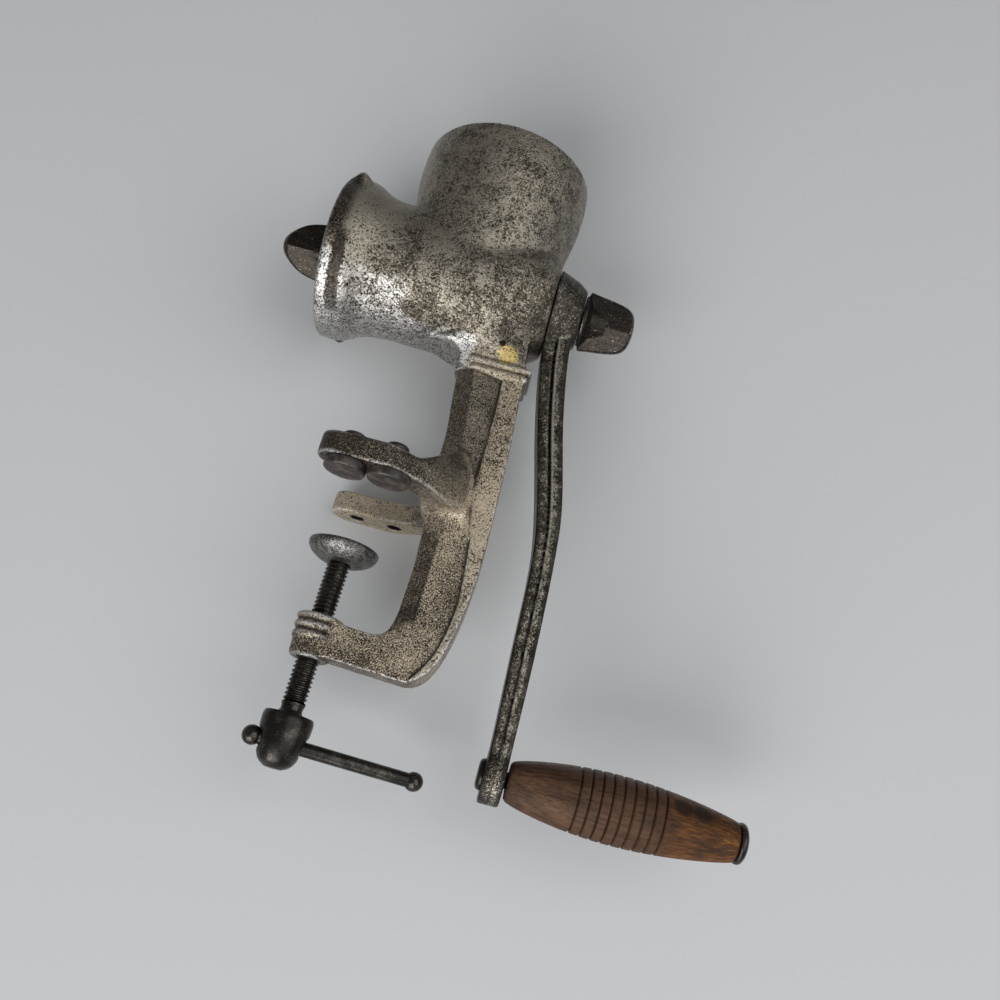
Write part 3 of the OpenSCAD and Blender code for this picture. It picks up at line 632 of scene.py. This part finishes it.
# the hopper's root on the barrel: how deep the blend goes into each, and the hopper's taper below a height
root = {"x": 0.0202, "radius": 0.0362, "taper": 0.22, "taperFrom": 0.026,
        "inBarrel": 0.003, "inHopper": 0.0025, "fillet": 0.011, "full": 1.3, "rounds": 110}


def nearHopperRoot(co):
    h = co.z - axisZ
    toBarrel = math.hypot(co.y, h) - body["barrelRadius"]
    taper = max(0.0, root["taperFrom"] - h) * root["taper"]
    toHopper = math.hypot(co.x - root["x"], co.y) - root["radius"] + taper
    if h < 0 or toBarrel < -root["inBarrel"] or toHopper < -root["inHopper"]:
        return 0
    return root["full"] - math.hypot(toBarrel, toHopper) / root["fillet"]


# the saddle's flare, between the collars of the leg and the arch where it meets the barrel
saddle = {"x": (0, 0.053), "h": (-0.035, -0.018), "skin": 0.0005, "fade": 0.0025, "rounds": 50}


def nearSaddle(co):
    h = co.z - axisZ
    out = math.hypot(co.y, h) - body["barrelRadius"] - saddle["skin"]
    if not within(co.x, saddle["x"]) or not within(h, saddle["h"]) or out < 0:
        return 0
    return min(1, out / saddle["fade"], (h - saddle["h"][0]) / saddle["fade"])


# the flare that carries a prong into the side of the leg, above its crisp lower edge
flare = {"x": (0.016, 0.056), "z": (0.0065, 0.040), "inner": 0.0060, "outer": 0.0105,
         "ribX": 0.0442, "ribFrom": 0.030, "ribSlope": 0.20,
         "fadeLow": 0.003, "fadeHigh": 0.008, "fadeFront": 0.008, "fadeRib": 0.002, "rounds": 90}


def nearFlare(co):
    if abs(co.y) < flare["inner"] or not within(co.z, flare["z"]) or not within(co.x, flare["x"]):
        return 0
    rib = flare["ribX"] + max(0.0, flare["ribFrom"] - co.z) * flare["ribSlope"]
    if co.x > rib and abs(co.y) < flare["outer"]:
        return 0
    return min(1, (co.z - flare["z"][0]) / flare["fadeLow"], (flare["z"][1] - co.z) / flare["fadeHigh"],
               (co.x - flare["x"][0]) / flare["fadeFront"], max(0, (rib - co.x) / flare["fadeRib"]))


# rounded edges of the prongs, clear of the empty holes
prong = {"root": 0.030, "inner": 0.012, "z": (-0.004, 0.020), "clear": 0.0040, "fade": 0.006, "rounds": 8}


def nearProng(co):
    if abs(co.y) < prong["inner"] or not within(co.z, prong["z"]) or co.x > prong["root"]:
        return 0
    if any(math.hypot(co.x - across, co.y - out) < prong["clear"] for across, out in footHoles):
        return 0
    return min(1, (prong["root"] - co.x) / prong["fade"])


# the hollow where the fork turns down into the clamp frame
hollow = {"x": (0.012, 0.047), "z": (-0.013, 0.018), "outer": 0.0135, "legX": 0.034, "panel": 0.0088,
          "fadePanel": 0.0008, "fadeLow": 0.006, "fadeHigh": 0.005, "fadeBack": 0.004, "fadeSide": 0.002,
          "rounds": 60}


def nearHollow(co):
    off = abs(co.y)
    if off > hollow["outer"] or not within(co.x, hollow["x"]) or not within(co.z, hollow["z"]):
        return 0
    side = 1 if co.x < hollow["legX"] else min(1, max(0, hollow["panel"] - off) / hollow["fadePanel"])
    return min(side,
               (co.z - hollow["z"][0]) / hollow["fadeLow"], (hollow["z"][1] - co.z) / hollow["fadeHigh"],
               (hollow["x"][1] - co.x) / hollow["fadeBack"], (hollow["outer"] - off) / hollow["fadeSide"])


# the mitred corner of the bevel inside the clamp frame
mitre = {"x": 0.0330, "z": -0.0415, "reach": 0.011, "rounds": 40}


def nearMitre(co):
    gap = math.hypot(co.x - mitre["x"], co.z - mitre["z"])
    return max(0, 1 - gap / mitre["reach"])


# the two pointed lugs on the bell, blended round their feet and kept sharp at their tips
lug = {"turn": 49, "along": -0.0385, "out": 0.0385,
       "reach": 0.013, "tip": 0.004, "tipShare": 0.15, "rounds": 40}


def nearLug(co):
    turn = math.radians(lug["turn"])
    for side in (1, -1):
        out = side * lug["out"]
        gap = (co - Vector((lug["along"], -out * math.sin(turn), axisZ + out * math.cos(turn)))).length
        if gap < lug["reach"]:
            return (1 - gap / lug["reach"]) * min(1, gap / lug["tip"] + lug["tipShare"])
    return 0


casting = castCopy("body_casting", "bodyCasting", body["cell"], body["rounds"])
for weight, blend in ((nearHopperRoot, root), (nearSaddle, saddle), (nearFlare, flare), (nearProng, prong),
                      (nearHollow, hollow), (nearMitre, mitre), (nearLug, lug)):
    smoothWhere(casting, weight, blend["rounds"])
thinned(casting, body["most"])
wearMap(casting)
seated(casting, "body", ironPaint, "tinned_iron", "body_casting")

# rubber feet, each with a stem through the prong and a button on top of it
foot = {"rim": 0.0008, "flat": 0.55, "shoulder": 0.0006, "stem": 0.00314, "prong": 0.0098,
        "button": 0.0016, "buttonHigh": 0.003, "buttonEdge": 0.0014, "buttonLip": 0.0002}


def rubberFoot(node, name):
    low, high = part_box(node)
    big = (high.x - low.x) / 2
    under = high.z - foot["buttonHigh"] - foot["prong"]
    top = under + foot["prong"]
    head = foot["stem"] + foot["button"]
    line = [(0, low.z), (big * foot["flat"], low.z)]
    line += arc(big - foot["rim"], low.z + foot["rim"], foot["rim"], -90, 0)
    line += arc(big - foot["shoulder"], under - foot["shoulder"], foot["shoulder"], 0, 90)
    line += [(foot["stem"], under), (foot["stem"], top), (head - foot["buttonLip"], top)]
    line += arc(head - foot["buttonEdge"], top + foot["buttonEdge"], foot["buttonEdge"], 0, 70)
    line += [(0, high.z)]
    rubber = turned(name, line, (middle(node).x, middle(node).y, 0), (0, 0, 1))
    return seated(rubber, "body", rubberPaint, "rubber", node)


rubberFoot("foot_front", "footFront")
rubberFoot("foot_rear", "footRear")

# thumb pieces
thumb = {"cell": 0.0004, "rounds": 8}
for node, name, rides in (("cutter_nut", "cutterNut", "nut"), ("crank_screw", "crankScrew", "thumb_screw")):
    wing = castCopy(node, name, thumb["cell"], thumb["rounds"])
    wearMap(wing)
    seated(wing, rides, thumbPaint, "dark_iron", node)

# crank
arm = {"cell": 0.0004, "rounds": 16, "most": 150000, "wearRounds": 12}
crankArm = castCopy("crank_arm", "crankArm", arm["cell"], arm["rounds"])
thinned(crankArm, arm["most"])
wearMap(crankArm, rounds=arm["wearRounds"])
acrossMap(crankArm)
seated(crankArm, "crank", armPaint, "dark_iron", "crank_arm")

# feed screw and cutter
feed = {"cell": 0.0006, "rounds": 4, "most": 120000}
feedScrew = castCopy("feed_screw", "feedScrew", feed["cell"], feed["rounds"])
thinned(feedScrew, feed["most"])
wearMap(feedScrew)
seated(feedScrew, "drive", ironPaint, "tinned_iron", "feed_screw")
for name, material in (("rotary_cutter", cutterPaint), ("thrust_washer", bronzePaint),
                       ("cutter_stud", steelPaint)):
    nodes[name].data.materials.clear()
    nodes[name].data.materials.append(material)

# wooden grip: its ends are a share of its thickest, the band of grooves a share of its length
grip = {"grooves": 9, "depth": 0.0010, "sharp": 7, "band": (0.270, 0.690), "edge": 0.0008, "steps": 260,
        "bore": 0.0033, "end": 0.575, "lean": 0.92, "fullness": 0.82, "wearRounds": 1}


def gripRadius(t):
    first, last = grip["band"]
    swell = math.sin(math.pi * t ** grip["lean"]) ** grip["fullness"] if 0 < t < 1 else 0
    turn = (t - first) / (last - first) * grip["grooves"]
    inBand = 0 < turn < grip["grooves"]
    cut = max(0.0, math.cos(2 * math.pi * (turn - 0.5))) ** grip["sharp"] if inBand else 0
    return grip["end"] + (1 - grip["end"]) * swell, grip["depth"] * cut


def woodenGrip():
    low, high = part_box("handle_grip")
    big = (high.z - low.z) / 2
    length = high.x - low.x
    face = big * grip["end"] - grip["edge"]
    line = [(grip["bore"], low.x), (face, low.x)]
    for k in range(grip["steps"] + 1):
        t = k / grip["steps"]
        share, cut = gripRadius(t)
        line.append((big * share - cut, low.x + grip["edge"] + (length - 2 * grip["edge"]) * t))
    line += [(face, high.x), (grip["bore"], high.x), (grip["bore"], low.x)]
    paint = stainedWoodPaint(stainedWood, [low.x + length * share for share in grip["band"]])
    wood = turned("woodenGrip", line, (0, 0, handleZ), (1, 0, 0))
    wearMap(wood, rounds=grip["wearRounds"])
    return seated(wood, "grip", paint, "wood", "handle_grip", angle=40)


woodenGrip()

# rod of the grip, with its riveted head in front of the arm
rod = {"radius": 0.0032, "rivet": 0.0062, "rivetHigh": 0.0024, "rivetEdge": 0.0020, "rivetRim": 0.0004}


def gripRod():
    low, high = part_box("handle_spindle")
    seat = low.x + rod["rivetHigh"]
    line = [(0, low.x)]
    line += arc(rod["rivet"] - rod["rivetEdge"], seat - rod["rivetRim"], rod["rivetEdge"], -90, 0)
    line += [(rod["rivet"], seat), (rod["radius"], seat), (rod["radius"], high.x), (0, high.x)]
    spindle = turned("gripRod", line, (0, 0, handleZ), (1, 0, 0))
    return seated(spindle, "crank", steelPaint, "dark_steel", "handle_spindle")


# domed cap on the rod's end
cap = {"edge": 0.0003, "rim": 0.0013, "roof": 0.002, "steps": 8}


def gripCap():
    low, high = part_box("handle_cap")
    big = (high.z - low.z) / 2
    rim = low.x + cap["rim"]
    line = [(rod["radius"], low.x), (big - cap["edge"], low.x), (big, low.x + cap["edge"]), (big, rim)]
    for k in range(1, cap["steps"] + 1):
        a = math.radians(90 * k / cap["steps"])
        line.append((big * math.cos(a), rim + (high.x - rim) * math.sin(a)))
    inner = high.x - cap["roof"]
    line += [(0, inner), (rod["radius"], inner), (rod["radius"], low.x)]
    dome = turned("gripCap", line, (0, 0, handleZ), (1, 0, 0))
    return seated(dome, "crank", steelPaint, "dark_steel", "handle_cap")


gripRod()
gripCap()

# clamp screw: the cast head, and a thread whose root, flank and top are shares of its pitch
clamp = {"crest": 0.00475, "root": 0.0040, "pitch": 0.0018, "neckTop": -0.0868, "tip": -0.0242, "steps": 28,
         "rootShare": 0.14, "flankShare": 0.28, "topShare": 0.16, "cell": 0.00035, "rounds": 5, "lap": 0.0006}


def clampScrew():
    head = castCopy("clamp_screw", "clampScrew", clamp["cell"], clamp["rounds"])
    only(head)
    editAll()
    bpy.ops.mesh.bisect(plane_co=(0, 0, clamp["neckTop"] + clamp["lap"]), plane_no=(0, 0, 1),
                        clear_outer=True, use_fill=True)
    editDone()
    pitch = clamp["pitch"]
    rise = clamp["crest"] - clamp["root"]
    flat = (0, 0, pitch * clamp["rootShare"])
    flank = pitch * clamp["flankShare"]
    top = (0, 0, pitch * clamp["topShare"])
    profile = (flat, (rise, 0, flank), top, (-rise, 0, flank), flat)
    thread = drawn((clamp["root"], 0, clamp["neckTop"]), profile)
    turns = int((clamp["tip"] - clamp["neckTop"]) / pitch)
    applied(thread, "SCREW", axis="Z", screw_offset=pitch, iterations=turns, steps=clamp["steps"],
            render_steps=clamp["steps"], use_merge_vertices=True, merge_threshold=merge["cast"])
    editAll()
    bpy.ops.mesh.remove_doubles(threshold=merge["cast"])
    bpy.ops.mesh.fill_holes(sides=0)
    bpy.ops.mesh.normals_make_consistent(inside=False)
    editDone()
    only(head)
    thread.select_set(True)
    bpy.ops.object.join()
    return seated(head, "screw", steelPaint, "dark_steel", "clamp_screw", angle=50)


clampScrew()

# swivel pad: its dome as shares of the radius and of the height from the top
pad = {"floor": 0.004, "dome": ((0.62, 0.90), (0.84, 0.66), (0.96, 0.40), (1.0, 0.18)), "edge": 0.0011,
       "roll": 0.3, "play": 0.00006, "lip": 0.0012, "steps": 5}


def swivelPad():
    low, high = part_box("swivel_pad")
    big = (high.x - low.x) / 2
    deep = high.z - low.z
    bore = clamp["crest"] + pad["play"]
    roll = pad["roll"] * pad["edge"]
    seat = high.z - pad["floor"]
    knots = [(bore + pad["lip"], low.z)] + [(big * r, high.z - deep * d) for r, d in pad["dome"]]
    knots += [(big - roll, high.z - roll), (big - pad["edge"], high.z)]
    line = [(bore, seat), (bore, low.z)] + throughPoints(knots, pad["steps"])
    line += [(0, high.z), (0, seat), (bore, seat)]
    plate = turned("swivelPad", line, (0, 0, 0), (0, 0, 1))
    return seated(plate, "pad", padPaint, "tinned_iron", "swivel_pad", angle=50)


swivelPad()

# sliding bar and its two knobs
bar = {"radius": 0.00285, "knob": 0.0039, "steps": 40}


def slidingBar():
    centre = (0, 0, barZ)
    knobs = (("bar_knob_front", "barKnobFront"), ("bar_knob_rear", "barKnobRear"))
    near, far = (middle(node).dot(barWay) for node, name in knobs)
    line = [(0, near), (bar["radius"], near), (bar["radius"], far), (0, far)]
    shaft = turned("slidingBar", line, centre, barWay, bar["steps"])
    seated(shaft, "bar", steelPaint, "dark_steel", "tommy_bar", angle=50)
    for (node, name), place in zip(knobs, (near, far)):
        line = [(0, place - bar["knob"])] + arc(0, place, bar["knob"], -80, 80, 14)
        line += [(0, place + bar["knob"])]
        seated(turned(name, line, centre, barWay, bar["steps"]), "bar", steelPaint, "dark_steel", node)


slidingBar()
print("pieces ready")

# floor, light and camera
stage = {
    "size": 8.0,
    "gap": 0.0006,
    "floor": (0.46, 0.47, 0.48),
    "key": {"place": (-0.37, -1.02, -1.85), "size": 1.7, "power": 58},
    "fill": {"place": (1.10, -1.35, -0.10), "size": 1.8, "power": 19},
    "back": {"place": (0.20, 1.00, 0.50), "size": 1.2, "power": 13},
    "world": 0.23,
}
camera = {"place": (0.0649, -0.3992, -0.1322), "turn": (111.283, -14.265, -4.339),
          "lens": 36.0, "sensor": 36.0, "clip": 0.01}


# the pale floor that the grinder lies on, clear when seen from behind and casting no shadow
def paleFloor():
    bpy.ops.object.select_all(action="DESELECT")
    bpy.ops.mesh.primitive_plane_add(size=stage["size"], location=(0, cadHigh.y + stage["gap"], 0),
                                     rotation=(math.pi / 2, 0, 0))
    floor = bpy.context.object
    floor.name = "floor"
    bpy.ops.object.transform_apply()
    p = Paint("paleFloor")
    matte = p.node("ShaderNodeBsdfDiffuse", None, {"Color": stage["floor"]})
    clear = p.node("ShaderNodeBsdfTransparent")
    behind = p.node("ShaderNodeNewGeometry", output="Backfacing")
    shadow = p.node("ShaderNodeLightPath", output="Is Shadow Ray")
    share = p.node("ShaderNodeMath", {"operation": "MAXIMUM"}, {0: behind, 1: shadow})
    surface = p.node("ShaderNodeMixShader", None, {0: share, 1: matte, 2: clear})
    p.node("ShaderNodeOutputMaterial", None, {"Surface": surface})
    floor.data.materials.append(p.material)


def lamp(name, settings):
    data = bpy.data.lights.new(name + "Light", "AREA")
    data.size = settings["size"]
    data.energy = settings["power"]
    obj = bpy.data.objects.new(name + "Light", data)
    obj.location = settings["place"]
    aim = (cadLow + cadHigh) / 2 - Vector(settings["place"])
    obj.rotation_euler = aim.to_track_quat("-Z", "Y").to_euler()
    bpy.context.scene.collection.objects.link(obj)


def studio():
    paleFloor()
    for name in ("key", "fill", "back"):
        lamp(name, stage[name])
    world = bpy.data.worlds.new("studio")
    bpy.context.scene.world = world
    world.use_nodes = True
    background = world.node_tree.nodes["Background"]
    background.inputs["Color"].default_value = (1, 1, 1, 1)
    background.inputs["Strength"].default_value = stage["world"]
    data = bpy.data.cameras.new("mainCamera")
    data.lens = camera["lens"]
    data.sensor_width = camera["sensor"]
    data.clip_start = camera["clip"]
    obj = bpy.data.objects.new("mainCamera", data)
    obj.location = camera["place"]
    obj.rotation_euler = [math.radians(a) for a in camera["turn"]]
    bpy.context.scene.collection.objects.link(obj)
    bpy.context.scene.camera = obj
    bpy.context.scene.view_settings.view_transform = "Standard"


studio()
print("studio ready")
